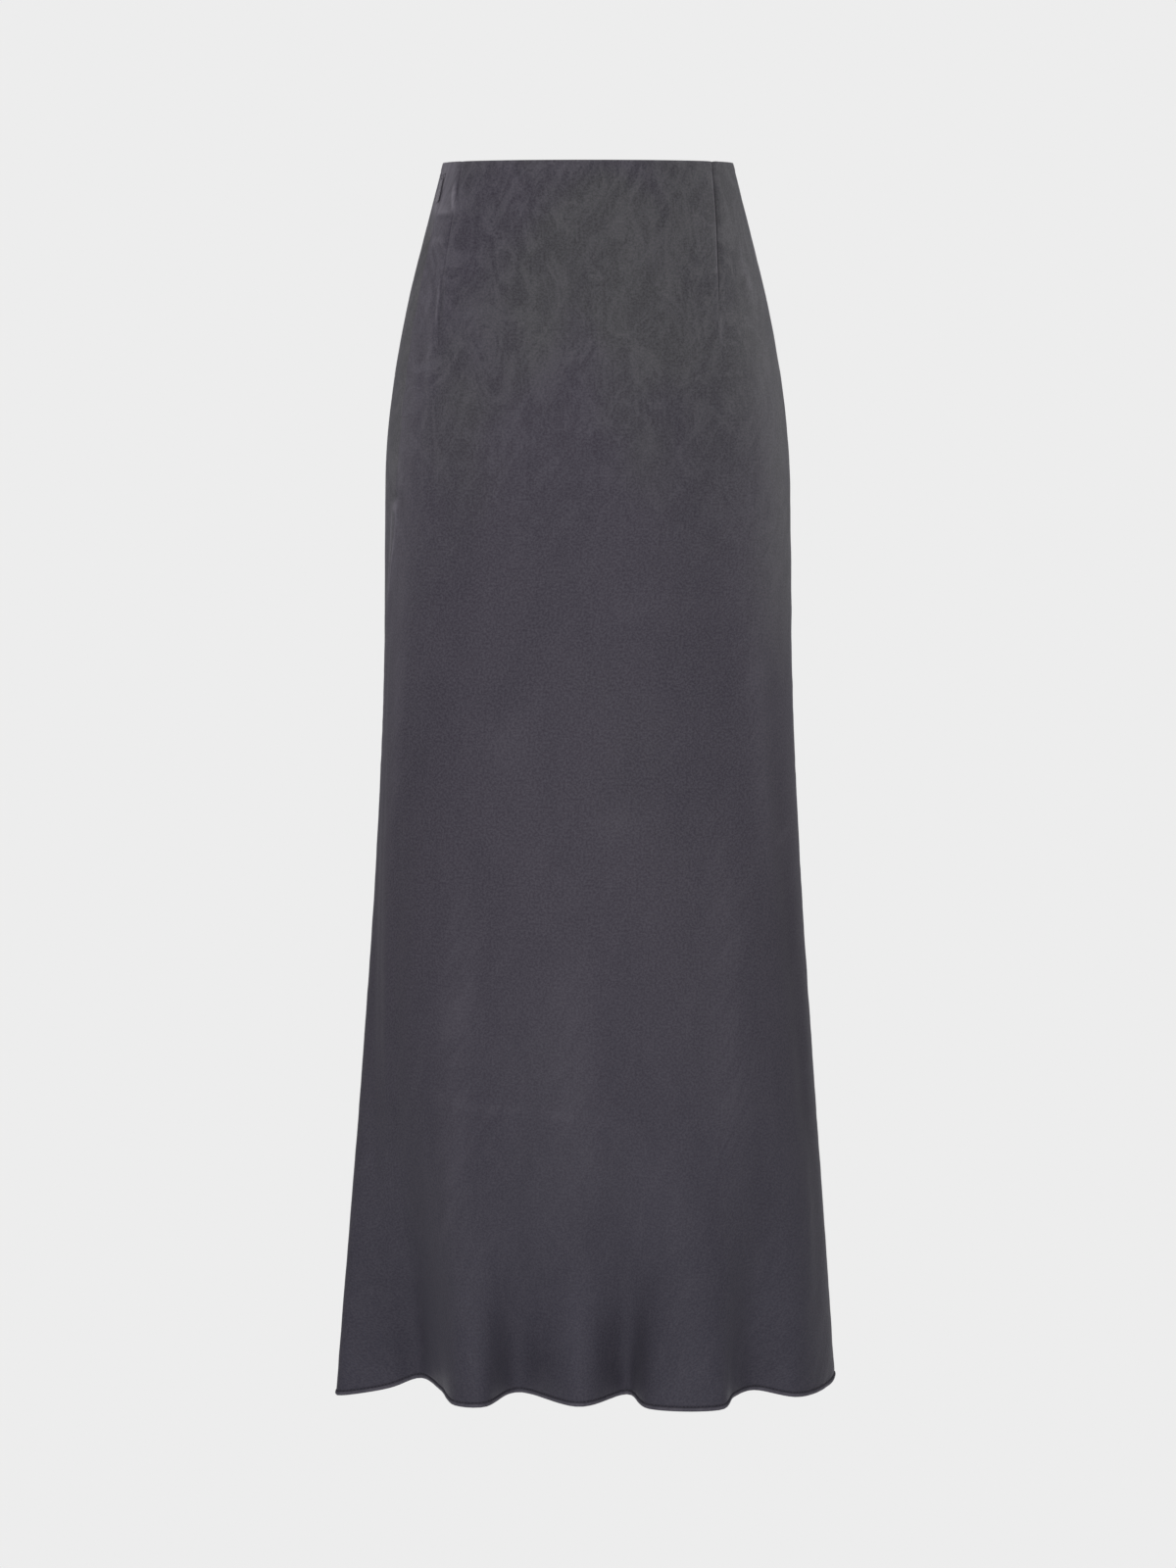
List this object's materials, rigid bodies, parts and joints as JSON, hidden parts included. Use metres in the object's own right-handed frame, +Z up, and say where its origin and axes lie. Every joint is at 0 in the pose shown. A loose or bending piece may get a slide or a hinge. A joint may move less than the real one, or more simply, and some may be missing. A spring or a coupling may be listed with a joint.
{
  "type": "slip skirt",
  "caption": "Ankle-length satin slip skirt, filled out and hanging from its waist, fitted with darts, with a concealed side zip and a softly fluted narrow hem.",
  "frame": {"origin": "centre of the waist opening, level with the waist edge at the sides", "axes": "+Z up from hem to waist, front of the skirt towards -Y, +X to the right as the front is seen, the zip in the -X side seam"},
  "size_m": [0.4103, 0.2502, 1.0049],
  "materials": {
    "satin": "sand-washed charcoal satin, soft sheen, cloudy mottling",
    "zip_tape": "matt woven polyester tape",
    "zip_chain": "moulded nylon coil",
    "zip_metal": "satin enamel in the cloth's colour"
  },
  "bodies": {
    "skirt": {"front_panel": "satin", "back_panel": "satin", "front_hem": "satin", "back_hem": "satin", "zip_tape_front": "zip_tape", "zip_tape_back": "zip_tape", "zip_chain": "zip_chain", "zip_slider": "zip_metal", "zip_stop": "zip_metal"},
    "pull_tab": {"zip_pull": "zip_metal"}
  },
  "joints": [
    {"name": "pull_swing", "type": "hinge", "parent": "skirt", "child": "pull_tab", "pos_m": [-0.11764, -0.02975, -0.01527], "axis": [-0.3882, 0.9216, 0.0011], "range_deg": [0, 165]}
  ]
}
